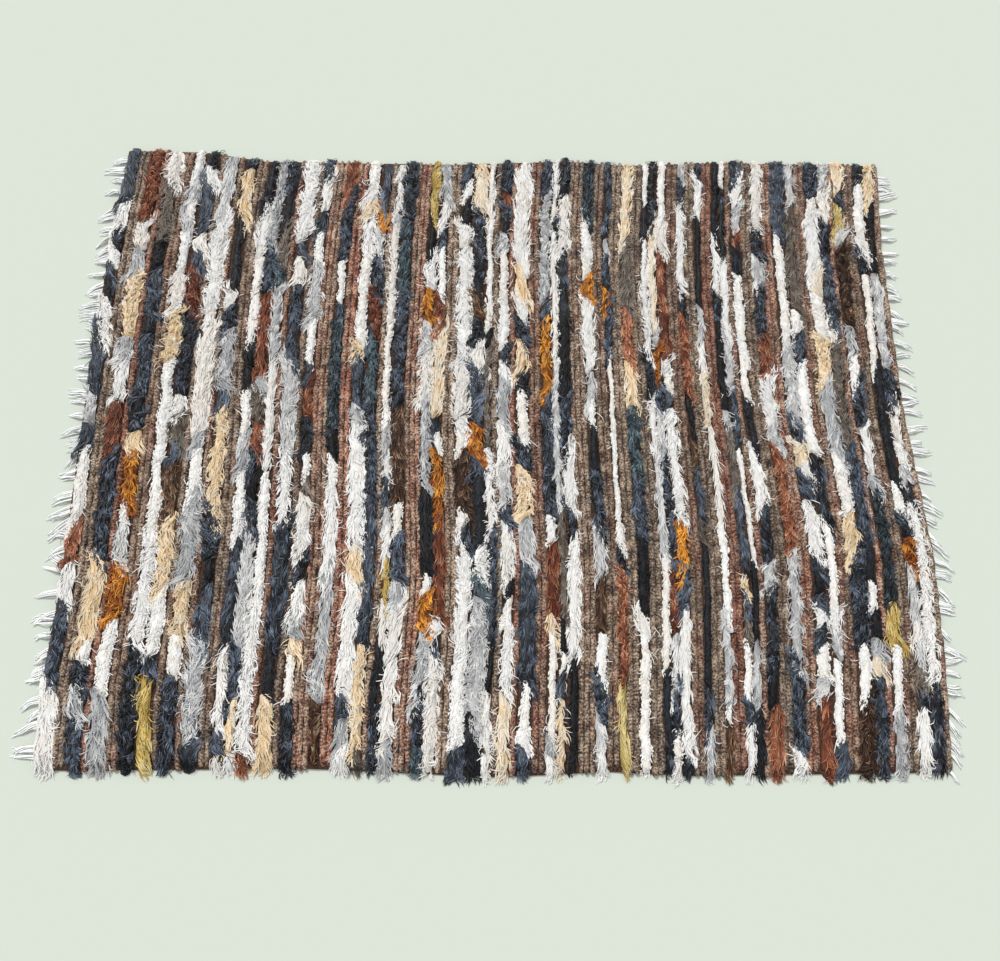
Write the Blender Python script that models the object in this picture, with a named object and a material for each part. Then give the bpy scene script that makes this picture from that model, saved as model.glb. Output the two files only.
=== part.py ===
"""A flat rug handwoven from strips of sheepskin and brown chenille yarn on a cotton warp.

The strips run along Y and the warp along X. The woven body is one slab with a flat underside: its top
is raised into ribs, tall lumpy ones of fur and low ones of chenille, and the fur ends in locks at the
near and far rims. The warp's loose ends lie on the floor at both sides, fused at their roots into a
narrow heading that is parted from the body's edge. Metres, +Z up, origin at the middle of the underside.
"""

import math
import random

import bmesh
import bpy
import numpy as np

# The woven body.
WEAVE_LENGTH = 1.80  # along X, across the ribs
WEAVE_WIDTH = 1.40  # along Y, along the ribs
GROUND_HEIGHT = 0.007  # of the weave in the furrow between two ribs
FUR_LUMP = 0.0035  # how far a fur rib rises and falls along its length
CHENILLE_LUMP = 0.0008
WEFT_SWAY = 0.004  # how far the ribs wander from straight lines
# How fast that sway changes, in radians. columns: over the rug's length, per metre along the ribs
SWAY_WAVES = ((7.0, 3.1), (4.0, 5.3))
ROW_COUNT = 13  # rows of points across the ribs, without the rims

# The kinds of rib.
# columns: kind, width before the rug's length is shared out, raised lines as (share of width, height)
RIBS = {
    "F": ("fur", 0.032, ((0.22, 0.018), (0.50, 0.0215), (0.78, 0.018))),
    "f": ("fur", 0.025, ((0.24, 0.017), (0.50, 0.0205), (0.76, 0.017))),
    "n": ("fur", 0.017, ((0.30, 0.016), (0.70, 0.016))),
    "B": ("chenille", 0.030, ((0.20, 0.013), (0.80, 0.013))),
    "b": ("chenille", 0.023, ((0.26, 0.013), (0.74, 0.013))),
    "s": ("chenille", 0.012, ((0.50, 0.0115),)),
}

# The ribs from left to right, in the weaver's order.
RIB_ORDER = "FbFsFbFFsFsFbfffsFsfBfbFfsnFBffbFFnsfsFbfnfBfbnbfbnnfbnbnbnnsfbfbFfbFfsfbffs"

# The ribs' ends at the near and far rims.
CROWN_END = 0.018  # where the ribs start to come down, back from the rim's line
RIM_HEIGHT = 0.006
RIB_REACH = (-0.004, 0.004)  # how far a rib's end lies from the rim's line
LOCK_REACH = (0.003, 0.012)  # how far a fur rib's locks reach past its shoulders
LOCK_SWING = 0.002  # how far a lock's tip lies to the side
FURROW_BACK = 0.006  # how far the furrows end short of the ribs
RIM_REACH = 0.026  # from the straight edge of the weave to the furthest lock, near and far

# The warp fringe.
PARTING = 0.0004  # between the body's edge and the heading
HEADING_WIDTH = 0.006
HEADING_HEIGHT = 0.0045
HEADING_BACK = 0.003  # how far the heading ends short of the body's corners
STRANDS_BETWEEN_ROWS = 6
STRAND_WIDTH = 0.0036
STRAND_HEIGHT = 0.003
STRAND_TIP = 0.5  # a strand's size at its tip, as a share of its size at the root
STRAND_STEPS = 2
STRAND_LENGTH = (0.030, 0.046)
STRAND_LEAN = math.radians(22)  # the most that a stretch of the fringe leans to one side
LEAN_WAVES = (4.1, 9.0)  # how fast that lean changes, in radians per metre along the fringe
STRAND_STRAY = math.radians(5)  # how far a strand leaves its neighbours' direction
STRAND_CURL = math.radians(12)
FRINGE_REACH = 0.055  # from the straight edge of the weave to the furthest strand

# How far each edge of the weave lies outside its straight line.
# columns: place along the edge from -1 to 1, offset
LEFT_EDGE = ((-1.0, -0.008), (-0.78, 0.004), (-0.5, -0.003), (0.0, 0.004), (0.55, 0.004), (1.0, -0.008))
RIGHT_EDGE = ((-1.0, -0.012), (-0.7, 0.005), (-0.38, 0.013), (0.12, -0.009), (0.7, -0.006), (1.0, 0.010))
NEAR_EDGE = ((-1.0, 0.001), (-0.42, -0.005), (0.0, 0.009), (0.24, -0.002), (0.42, 0.005), (1.0, -0.004))
FAR_EDGE = ((-0.8, 0.009), (-0.64, -0.013), (-0.15, -0.011), (0.16, 0.006), (0.32, -0.003), (0.58, 0.012))

COLLECTION = "sheepskin_strip_rug"
SEED = 7

# Materials.
# columns: base colour in linear RGB, roughness
WOOL_AND_CHENILLE = ((0.28, 0.23, 0.21), 0.9)
COTTON_WARP = ((0.78, 0.75, 0.69), 0.85)


def edge_offset(table, place):
    """How far outside its straight line an edge lies at a place, straight between its table's rows."""
    places, offsets = zip(*table)
    return float(np.interp(place, places, offsets))


def furrow_shares():
    """The furrows between the ribs as shares of the rug's length, from 0 to 1."""
    widths = [RIBS[letter][1] for letter in RIB_ORDER]
    furrows = np.concatenate([[0.0], np.cumsum(widths)])
    return furrows / furrows[-1]


def weave_x(share, y):
    """X of a line along the ribs: it follows the two side edges, and sways between them."""
    place = 2 * y / WEAVE_WIDTH
    left = -WEAVE_LENGTH / 2 - edge_offset(LEFT_EDGE, place)
    right = WEAVE_LENGTH / 2 + edge_offset(RIGHT_EDGE, place)
    first, second = (across * share + along * y for across, along in SWAY_WAVES)
    sway = math.sin(math.pi * share) * math.sin(first) * math.cos(second)
    return left + (right - left) * share + WEFT_SWAY * sway


def row_places():
    """The Y of the rows of points: even ones over the ribs, and a rim at each end."""
    inner = WEAVE_WIDTH / 2 - CROWN_END
    return [-WEAVE_WIDTH / 2, *np.linspace(-inner, inner, ROW_COUNT), WEAVE_WIDTH / 2]


def rib_lines(rng):
    """The lines of points along the ribs, as (share of the length, height, lump, reach at each rim).

    Each rib has the furrow at its left and its raised lines. A fur rib's inner raised lines end in locks.
    """
    furrows = furrow_shares()
    lines = []
    for letter, low, high in zip(RIB_ORDER, furrows[:-1], furrows[1:]):
        kind, _, raised = RIBS[letter]
        ends = [rng.uniform(*RIB_REACH) for _ in range(2)]
        lines.append((low, GROUND_HEIGHT, 0.0, [end - FURROW_BACK for end in ends]))
        for number, (place, height) in enumerate(raised):
            inner = len(raised) < 3 or number == 1
            reach = [end + rng.uniform(*LOCK_REACH) for end in ends] if kind == "fur" and inner else ends
            lump = FUR_LUMP if kind == "fur" else CHENILLE_LUMP
            lines.append((low + place * (high - low), height, lump, reach))
    lines.append((1.0, GROUND_HEIGHT, 0.0, [-FURROW_BACK, -FURROW_BACK]))
    return lines


def rim_reaches(lines):
    """How far each line reaches past the straight edge, near and far, with the furthest at RIM_REACH."""
    both = []
    for end, table in enumerate((NEAR_EDGE, FAR_EDGE)):
        own = [edge_offset(table, 2 * share - 1) + reach[end] for share, _, _, reach in lines]
        both.append([value * RIM_REACH / max(own) for value in own])
    return both


def point_of(vertex, lines, rows):
    """The column and row of a grid's vertex."""
    column = round((vertex.co.x + 1) / 2 * (len(lines) - 1))
    row = round((vertex.co.y + 1) / 2 * (len(rows) - 1))
    return column, row


def woven_body(lines, reaches, rng):
    """The body: a grid raised into ribs, its boundary drawn down to the floor, and a flat underside."""
    rows = row_places()
    rims = {0: (-1, reaches[0]), len(rows) - 1: (1, reaches[1])}
    mesh = bmesh.new()
    bmesh.ops.create_grid(mesh, x_segments=len(lines) - 1, y_segments=len(rows) - 1, size=1.0)
    for vertex in mesh.verts:
        column, row = point_of(vertex, lines, rows)
        share, height, lump, _ = lines[column]
        x, y, z = weave_x(share, rows[row]), rows[row], height + lump * rng.uniform(-1, 1)
        if row in rims:
            sign, reach = rims[row]
            y += sign * reach[column]
            z = RIM_HEIGHT
            if 0 < share < 1:
                x += LOCK_SWING * rng.uniform(-1, 1)
        vertex.co = (x, y, z)

    rim = [edge for edge in mesh.edges if edge.is_boundary]
    lower_to_floor(bmesh.ops.extrude_edge_only(mesh, edges=rim)["geom"])
    floor_line = [edge for edge in mesh.edges if edge.is_boundary]
    underside = bmesh.ops.contextual_create(mesh, geom=floor_line)["faces"]
    bmesh.ops.triangulate(mesh, faces=underside)
    bmesh.ops.recalc_face_normals(mesh, faces=mesh.faces)
    return as_object("woven_rug", mesh)


def lower_to_floor(geometry):
    """Puts the points of some new geometry on the floor."""
    for item in geometry:
        if isinstance(item, bmesh.types.BMVert):
            item.co.z = 0.0


def side_wall(side, reaches):
    """The Y and X of the points along the body's left or right wall. side is -1 for left, 1 for right."""
    rows = row_places()
    near, far = (reach[0 if side < 0 else -1] for reach in reaches)
    places = [rows[0] - near, *rows[1:-1], rows[-1] + far]
    return places, [weave_x((side + 1) / 2, row) for row in rows]


def strand_roots():
    """The Y of the strands' roots, evenly between each two inner rows, so that none straddles a bend."""
    rows = row_places()[1:-1]
    shares = [(k + 0.5) / STRANDS_BETWEEN_ROWS for k in range(STRANDS_BETWEEN_ROWS)]
    return [low + (high - low) * share for low, high in zip(rows[:-1], rows[1:]) for share in shares]


def warp_fringe(name, side, wall, rng):
    """One side's fringe: a heading along the body's wall, whose root faces are drawn out as strands."""
    roots = strand_roots()
    root_sides = [y + offset for y in roots for offset in (-STRAND_WIDTH / 2, STRAND_WIDTH / 2)]
    ends = [wall[0][0] + HEADING_BACK, wall[0][-1] - HEADING_BACK]
    stops = sorted([*ends, *row_places()[1:-1], *root_sides])
    mesh = bmesh.new()
    bmesh.ops.create_grid(mesh, x_segments=1, y_segments=len(stops) - 1, size=1.0)
    for vertex in mesh.verts:
        column, row = point_of(vertex, (0, 1), stops)
        outward = PARTING + HEADING_WIDTH * (column == (side > 0))
        vertex.co = (np.interp(stops[row], *wall) + side * outward, stops[row], HEADING_HEIGHT)
    lower_to_floor(bmesh.ops.extrude_face_region(mesh, geom=list(mesh.faces))["geom"])
    bmesh.ops.recalc_face_normals(mesh, faces=mesh.faces)

    outer = [face for face in mesh.faces if face.normal.x * side > 0.7]
    root_faces = [min(outer, key=lambda face: abs(face.calc_center_median().y - y)) for y in roots]
    slow, fast = LEAN_WAVES
    for y, root in zip(roots, root_faces):
        lean = STRAND_LEAN * math.sin(slow * y + side) * math.cos(fast * y - side)
        lean += rng.uniform(-STRAND_STRAY, STRAND_STRAY)
        draw_strand(mesh, root, side, lean, rng)
    bmesh.ops.dissolve_limit(mesh, angle_limit=math.radians(0.1), verts=mesh.verts, edges=mesh.edges)
    return as_object(name, mesh)


def draw_strand(mesh, root, side, lean, rng):
    """Draws a root face out in steps: each turns a little more, and narrows towards the tip."""
    length = rng.uniform(*STRAND_LENGTH)
    curl = STRAND_CURL * rng.uniform(-1, 1)
    x, y = root.calc_center_median().xy
    face = root
    for step in range(1, STRAND_STEPS + 1):
        along = step / STRAND_STEPS
        angle = lean + curl * along
        x += side * math.cos(angle) * length / STRAND_STEPS
        y += math.sin(angle) * length / STRAND_STEPS
        size = 1 + (STRAND_TIP - 1) * along
        face = bmesh.ops.extrude_discrete_faces(mesh, faces=[face])["faces"][0]
        middle = face.calc_center_median()
        for vertex in face.verts:
            half = math.copysign(STRAND_WIDTH * size / 2, vertex.co.y - middle.y)
            height = STRAND_HEIGHT * size * (vertex.co.z > middle.z)
            vertex.co = (x - side * math.sin(angle) * half, y + math.cos(angle) * half, height)


def reach_to(made, side, start):
    """Stretches what lies past start, outwards, so that the furthest point is at the fringe's reach."""
    furthest = max(side * vertex.co.x for vertex in made.data.vertices)
    stretch = (WEAVE_LENGTH / 2 + FRINGE_REACH - start) / (furthest - start)
    for vertex in made.data.vertices:
        if side * vertex.co.x > start:
            vertex.co.x = side * (start + (side * vertex.co.x - start) * stretch)


def as_object(name, mesh):
    """A bmesh as an object in the rug's collection."""
    data = bpy.data.meshes.new(name)
    mesh.to_mesh(data)
    mesh.free()
    made = bpy.data.objects.new(name, data)
    bpy.data.collections[COLLECTION].objects.link(made)
    return made


def give_material(made, name, colour, roughness):
    """Gives an object a material of its own: a Principled BSDF with that colour and roughness."""
    material = bpy.data.materials.new(name)
    material.use_nodes = True
    shader = material.node_tree.nodes["Principled BSDF"]
    shader.inputs["Base Color"].default_value = (*colour, 1.0)
    shader.inputs["Roughness"].default_value = roughness
    shader.inputs["Metallic"].default_value = 0.0
    made.data.materials.append(material)


def main():
    for old in list(bpy.data.objects):
        bpy.data.objects.remove(old)
    bpy.context.scene.collection.children.link(bpy.data.collections.new(COLLECTION))

    rng = random.Random(SEED)
    lines = rib_lines(rng)
    reaches = rim_reaches(lines)
    give_material(woven_body(lines, reaches, rng), "wool_and_chenille", *WOOL_AND_CHENILLE)
    for name, side in (("fringe_left", -1), ("fringe_right", 1)):
        wall = side_wall(side, reaches)
        made = warp_fringe(name, side, wall, rng)
        reach_to(made, side, max(side * x for x in wall[1]) + 2 * HEADING_WIDTH)
        give_material(made, "cotton_warp_" + name, *COTTON_WARP)


main()
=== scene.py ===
"""The looks of a flat rug, handwoven from strips of dyed sheepskin and brown chenille yarn on a cotton warp.

The cloth is a laid sheet with the chenille cords on it. Every fur strip is cut in lengths of one dye: each
length is a low core of skin and underfur, and its wool lies on it in tufts of tapered locks, with thin
wisps that stray from them. The warp's ends are bunches of twisted cotton threads. Metres, +Z up, X across
the ribs and Y along them.
"""

from collections import namedtuple

import bpy
import numpy as np
from mathutils import Matrix


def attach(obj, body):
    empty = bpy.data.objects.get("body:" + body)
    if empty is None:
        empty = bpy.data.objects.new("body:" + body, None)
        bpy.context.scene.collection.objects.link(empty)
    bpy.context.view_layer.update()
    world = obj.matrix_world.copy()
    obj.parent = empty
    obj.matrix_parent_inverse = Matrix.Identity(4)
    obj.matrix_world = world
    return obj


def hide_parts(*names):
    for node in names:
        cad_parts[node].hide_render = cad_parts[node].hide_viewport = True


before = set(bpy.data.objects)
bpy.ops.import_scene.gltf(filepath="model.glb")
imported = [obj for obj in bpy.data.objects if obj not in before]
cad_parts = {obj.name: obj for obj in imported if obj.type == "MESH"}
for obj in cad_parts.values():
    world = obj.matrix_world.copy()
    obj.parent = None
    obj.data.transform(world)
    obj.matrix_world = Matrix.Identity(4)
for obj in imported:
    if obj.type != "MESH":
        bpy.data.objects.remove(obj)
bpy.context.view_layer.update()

MM = 0.001

# The camera, at the photograph's place over the floor.
CAMERA_PLACE = (-0.0511, -0.6859, 1.8411)
CAMERA_PITCH = 72.406  # degrees below the horizon
CAMERA_YAW = 4.783  # degrees, from +Y towards +X
CAMERA_ROLL = 5.300
CAMERA_LENS = 32.4  # mm, on a sensor 36 mm wide

# The weave, as in the body's own solid.
WEAVE_LENGTH = 1.80
WEAVE_WIDTH = 1.40
GROUND_HEIGHT = 7 * MM
CHENILLE_HEIGHT = 13 * MM
WEFT_SWAY = 4 * MM
SWAY_WAVES = ((7.0, 3.1), (4.0, 5.3))  # radians over the rug's length, and per metre across it
FULL_HEIGHT_IN = (-4 * MM, 14 * MM)  # from the rims: where the weave starts to rise, and where it is full
SIDE_OUT = 8 * MM  # how far the left and right sides lie outside that
# columns: rib's letter; kind; width, of the length that all ribs share; number of cords
RIBS = {
    "F": ("fur", 0.032, 3),
    "f": ("fur", 0.025, 2),
    "n": ("fur", 0.017, 2),
    "B": ("chenille", 0.030, 3),
    "b": ("chenille", 0.023, 2),
    "s": ("chenille", 0.012, 1),
}
RIB_ORDER = "FbFsFbFFsFsFbfffsFsfBfbFfsnFBffbFFnsfsFbfnfBfbnbfbnnfbnbnbnnsfbfbFfbFfsfbffs"
# How far each edge lies outside its straight line. columns: place along it from -1 to 1, offset
LEFT_EDGE = ((-1.0, -0.008), (-0.78, 0.004), (-0.5, -0.003), (0.0, 0.004), (0.55, 0.004), (1.0, -0.008))
RIGHT_EDGE = ((-1.0, -0.012), (-0.7, 0.005), (-0.38, 0.013), (0.12, -0.009), (0.7, -0.006), (1.0, 0.010))
NEAR_EDGE = ((-1.0, 0.001), (-0.42, -0.005), (0.0, 0.009), (0.24, -0.002), (0.42, 0.005), (1.0, -0.004))
FAR_EDGE = ((-0.8, 0.009), (-0.64, -0.013), (-0.15, -0.011), (0.16, 0.006), (0.32, -0.003), (0.58, 0.012))

# The dyes, each from a first shade to a second. columns: at the skin, halfway along the lock and at its tip
# in the first shade; the same in the second; share of the lengths that ACCENTS leaves; weight of each style
# The darker colours at the skin are painted shade under the locks above, and where a dye is brightest
# halfway along, as indigo and petrol are, that is a painted highlight.
DYES = {
    "undyed": ("#d4d4d5", "#e8e8e7", "#eaeaea", "#cbc4bd", "#e3dfd8", "#eae8e4", 0.45,
               {"clipped": 7, "combed": 4, "tousled": 3}),
    "silver": ("#a8aaab", "#d5d5d5", "#e3e3e2", "#77797c", "#a2a4a7", "#c6c7c8", 0.165,
               {"combed": 5, "tousled": 4, "curly": 2}),
    "smoke": ("#3a332f", "#7b7269", "#aba297", "#282420", "#534a42", "#7c7268", 0.014,
              {"tousled": 5, "combed": 4}),
    "indigo": ("#020304", "#0c0d13", "#06080a", "#06080b", "#4f5866", "#2f3740", 0.31,
               {"curly": 7, "twisted": 1, "combed": 3}),
    "black": ("#030304", "#0a0b0d", "#101115", "#050608", "#1c1e24", "#30343e", 0.07,
              {"clipped": 6, "combed": 3}),
    "petrol": ("#060b0d", "#1b272e", "#0e161a", "#0f191e", "#52626a", "#2f3b42", 0.008, {"curly": 1}),
    "rust": ("#2c1104", "#843e10", "#4f2009", "#51260a", "#d78c28", "#e2b769", 0.0, {"curly": 1}),
    "brick": ("#2a110c", "#5e2c1a", "#40190f", "#4f2617", "#9c5f42", "#dcb89e", 0.016,
              {"combed": 1, "curly": 1}),
    "umber": ("#0e0805", "#2e1a12", "#21130d", "#1f120c", "#5d3f2b", "#c3ad8f", 0.013,
              {"combed": 5, "tousled": 5}),
    "mustard": ("#6b5320", "#b29649", "#cdb776", "#91793b", "#ccba7f", "#e1d9ba", 0.0, {"twisted": 1}),
    "cream": ("#bd9a68", "#e2c9a2", "#ebdfc8", "#c6b9a3", "#e0d6c6", "#e9e4da", 0.035,
              {"combed": 6, "curly": 3}),
}

# The yarn's two browns, taupe and russet, each from the bottom of the pile to its flecks. The dark low end
# is partly painted shade in the pile's hollows, as the same level is also the bump's height.
CHENILLE_DYES = (("#241b16", "#57473c", "#836f60", "#c4b09a"), ("#28130d", "#66382a", "#925e4b", "#c59d87"))

# How a dyed wool looks. columns: gloss, contrast between locks, variety of shade between a length's staples
# Gloss also sets how far painted highlights brighten and shift a glossy wool's locks.
FINISHES = {
    "undyed": (0.1, 0.10, 0.20), "silver": (0.2, 0.20, 0.42), "smoke": (0.1, 0.28, 0.32),
    "indigo": (0.8, 0.66, 0.60), "black": (0.6, 0.54, 0.36), "petrol": (0.8, 0.48, 0.34),
    "rust": (0.6, 0.32, 0.36), "brick": (0.5, 0.34, 0.32), "umber": (0.5, 0.40, 0.46),
    "mustard": (0.4, 0.24, 0.30), "cream": (0.3, 0.14, 0.28),
}

# Lengths of strip that stand out. columns: rib's place in RIB_ORDER, Y of near end, Y of far end, dye, style
ACCENTS = (
    (0, -0.72, -0.53, "undyed", "combed"),
    (0, -0.53, -0.38, "indigo", "curly"),
    (2, -0.72, -0.60, "indigo", "curly"),
    (4, -0.72, -0.55, "silver", "combed"),
    (4, -0.41, -0.30, "rust", "curly"),
    (4, -0.17, -0.05, "rust", "curly"),
    (6, -0.72, -0.47, "indigo", "curly"),
    (7, -0.72, -0.52, "mustard", "twisted"),
    (7, -0.35, -0.20, "cream", "curly"),
    (9, -0.72, -0.52, "indigo", "curly"),
    (9, -0.43, -0.33, "cream", "curly"),
    (11, -0.20, 0.05, "cream", "tousled"),
    (11, 0.53, 0.66, "cream", "combed"),
    (17, -0.68, -0.56, "cream", "combed"),
    (19, 0.03, 0.12, "brick", "combed"),
    (21, -0.72, -0.57, "umber", "combed"),
    (24, 0.24, 0.33, "brick", "curly"),
    (24, 0.49, 0.55, "rust", "combed"),
    (26, -0.38, -0.28, "mustard", "combed"),
    (29, 0.28, 0.35, "rust", "curly"),
    (29, -0.43, -0.35, "rust", "curly"),
    (29, 0.53, 0.70, "mustard", "twisted"),
    (30, -0.17, -0.04, "rust", "curly"),
    (33, -0.04, 0.02, "rust", "curly"),
    (40, 0.09, 0.28, "rust", "curly"),
    (41, -0.72, -0.56, "cream", "tousled"),
    (44, 0.33, 0.39, "rust", "curly"),
    (44, -0.43, -0.31, "umber", "combed"),
    (46, 0.31, 0.36, "rust", "curly"),
    (46, -0.72, -0.53, "mustard", "twisted"),
    (48, 0.20, 0.30, "brick", "curly"),
    (48, 0.07, 0.17, "cream", "combed"),
    (51, 0.15, 0.21, "rust", "curly"),
    (51, -0.43, -0.30, "brick", "combed"),
    (52, -0.30, -0.19, "rust", "curly"),
    (61, -0.72, -0.57, "brick", "combed"),
    (63, 0.15, 0.25, "brick", "curly"),
    (63, -0.25, -0.02, "brick", "curly"),
    (65, -0.72, -0.55, "brick", "twisted"),
    (68, -0.72, -0.56, "umber", "tousled"),
    (68, 0.14, 0.24, "cream", "curly"),
    (71, -0.45, -0.36, "mustard", "combed"),
    (71, -0.34, -0.12, "petrol", "curly"),
    (71, 0.52, 0.59, "mustard", "combed"),
    (73, -0.72, -0.57, "undyed", "combed"),
    (73, -0.27, -0.22, "rust", "curly"),
    (74, -0.72, -0.52, "indigo", "combed"),
    (74, -0.50, -0.14, "undyed", "tousled"),
)

# How a style's wool lies. fill: narrowest and widest strip, of its place; cover: layers of locks; reach:
# shortest and longest lock; width: of a lock; staple: size of the tufts that locks gather in; gather: how
# far their tips draw together, from 0 to 1; splay: heading away from the strip's middle at its sides; sweep:
# heading across the strip; stray: waves of the heading along it; turn: of a lock's heading from root to tip,
# against the sweep; wild: random turn of a staple; loose: and of a lock (all radians); lift: over what it
# lies on; over: past the strip's sides; fine: whether a lock bends in two places
Style = namedtuple(
    "Style", "fill cover reach width staple gather splay sweep stray turn wild loose lift over fine"
)
STYLES = {
    "clipped": Style((0.55, 0.92), 1.15, (8 * MM, 13 * MM), 3.1 * MM, 9 * MM, 0.2, 1.00,
                     0.05, 0.25, 0.1, 0.30, 0.30, 1.0 * MM, 1.6 * MM, False),
    "combed": Style((0.68, 1.03), 2.0, (26 * MM, 40 * MM), 2.6 * MM, 13 * MM, 0.55, 0.50,
                    0.25, 0.30, 0.7, 0.25, 0.14, 1.8 * MM, 4.5 * MM, False),
    "tousled": Style((0.68, 1.07), 1.95, (22 * MM, 34 * MM), 2.6 * MM, 12 * MM, 0.55, 0.60,
                     0.35, 0.55, 1.1, 0.70, 0.20, 2.8 * MM, 7.0 * MM, False),
    "curly": Style((0.72, 1.09), 1.55, (18 * MM, 27 * MM), 2.8 * MM, 11 * MM, 0.50, 0.20,
                   1.00, 0.35, 2.0, 0.50, 0.20, 3.6 * MM, 4.0 * MM, True),
    "twisted": Style((0.68, 1.00), 1.9, (28 * MM, 38 * MM), 3.2 * MM, 16 * MM, 0.55, 0.05,
                     0.62, 0.10, 0.35, 0.15, 0.10, 3.0 * MM, 2.5 * MM, False),
}
WISP_SHARE = (0.31, 0.05)  # thin stray locks to each full one, in long wool and in clipped
WISP_WIDTH = 1.5 * MM
WISP_REACH = 23 * MM
WISP_OVER = 16 * MM  # past the strip's sides

SEED = 11


def hex_linear(code):
    """An sRGB hex colour as linear RGBA.

    Each channel c is c / 12.92 below 0.04045, else ((c + 0.055) / 1.055) ^ 2.4.
    """
    c = np.array([int(code[k:k + 2], 16) / 255 for k in (1, 3, 5)])
    return (*np.where(c <= 0.04045, c / 12.92, ((c + 0.055) / 1.055) ** 2.4), 1.0)


def make_camera():
    """The camera's right, up and back directions are worked out from its pitch, yaw and roll."""
    pitch, yaw, roll = np.radians((CAMERA_PITCH, CAMERA_YAW, CAMERA_ROLL))
    ahead = np.array([np.sin(yaw) * np.cos(pitch), np.cos(yaw) * np.cos(pitch), -np.sin(pitch)])
    right = np.array([np.cos(yaw), -np.sin(yaw), 0.0])
    up = np.cross(right, ahead)
    rolled_right = np.cos(roll) * right + np.sin(roll) * up
    rolled_up = -np.sin(roll) * right + np.cos(roll) * up
    data = bpy.data.cameras.new("camera")
    data.lens = CAMERA_LENS
    camera = bpy.data.objects.new("camera", data)
    bpy.context.scene.collection.objects.link(camera)
    turn = Matrix(np.stack([rolled_right, rolled_up, -ahead], axis=1).tolist()).to_4x4()
    camera.matrix_world = Matrix.Translation(CAMERA_PLACE) @ turn
    bpy.context.scene.camera = camera


def offset_of(table, place):
    """The edge's offset at a place, straight between the rows of its table."""
    places, offsets = zip(*table)
    return np.interp(place, places, offsets)


def weave_x(share, y):
    """X of a line along the ribs: left edge + share of the way to the right edge + a sway of two sines."""
    place = 2 * y / WEAVE_WIDTH
    left = -WEAVE_LENGTH / 2 - offset_of(LEFT_EDGE, place)
    right = WEAVE_LENGTH / 2 + offset_of(RIGHT_EDGE, place)
    first, second = (across * share + along * y for across, along in SWAY_WAVES)
    sway = np.sin(np.pi * share) * np.sin(first) * np.cos(second)
    return left + (right - left) * share + WEFT_SWAY * sway


def rim_y(share, far):
    """Y of the near or far rim, without any rib's own reach."""
    sign, table = ((-1, NEAR_EDGE), (1, FAR_EDGE))[far]
    return sign * (WEAVE_WIDTH / 2 + offset_of(table, 2 * share - 1))


def ramp(value, low, high):
    """0 below low, 1 above high, and 3t^2 - 2t^3 between."""
    t = np.clip((value - low) / (high - low), 0, 1)
    return t * t * (3 - 2 * t)


def inside(share, y):
    """How much of its full height the weave has: 0 from 4 mm outside the rims, 1 from 14 mm inside them.

    Between, it is a smooth ramp. The left and right sides count as lying 8 mm further out.
    """
    near, far = rim_y(share, 0), rim_y(share, 1)
    side = np.minimum(share, 1 - share) * WEAVE_LENGTH
    return ramp(np.minimum(np.minimum(y - near, far - y), side + SIDE_OUT), *FULL_HEIGHT_IN)


def sines(place, waves, phases):
    """A sum of sines of the place. columns of waves: size, wavelength."""
    return sum(size * np.sin(place * 2 * np.pi / wave + phase) for (size, wave), phase in zip(waves, phases))


def wobble(rng, place, waves):
    """A smooth uneven line, about -1 to 1: a sum of sines of the given wavelengths in random phases."""
    phases = rng.uniform(0, 2 * np.pi, len(waves))
    return sines(place, [(1, wave) for wave in waves], phases) / len(waves) ** 0.5


def rib_table():
    """Each rib's kind, low and high share of the rug's length, and number of cords."""
    kinds = [RIBS[letter] for letter in RIB_ORDER]
    lines = np.concatenate([[0.0], np.cumsum([width for _, width, _ in kinds])])
    lines = lines / lines[-1]
    return [(kind, low, high, cords) for (kind, _, cords), low, high in zip(kinds, lines[:-1], lines[1:])]


POINT_NUMBERS = ("along", "tone", "shade")


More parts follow.
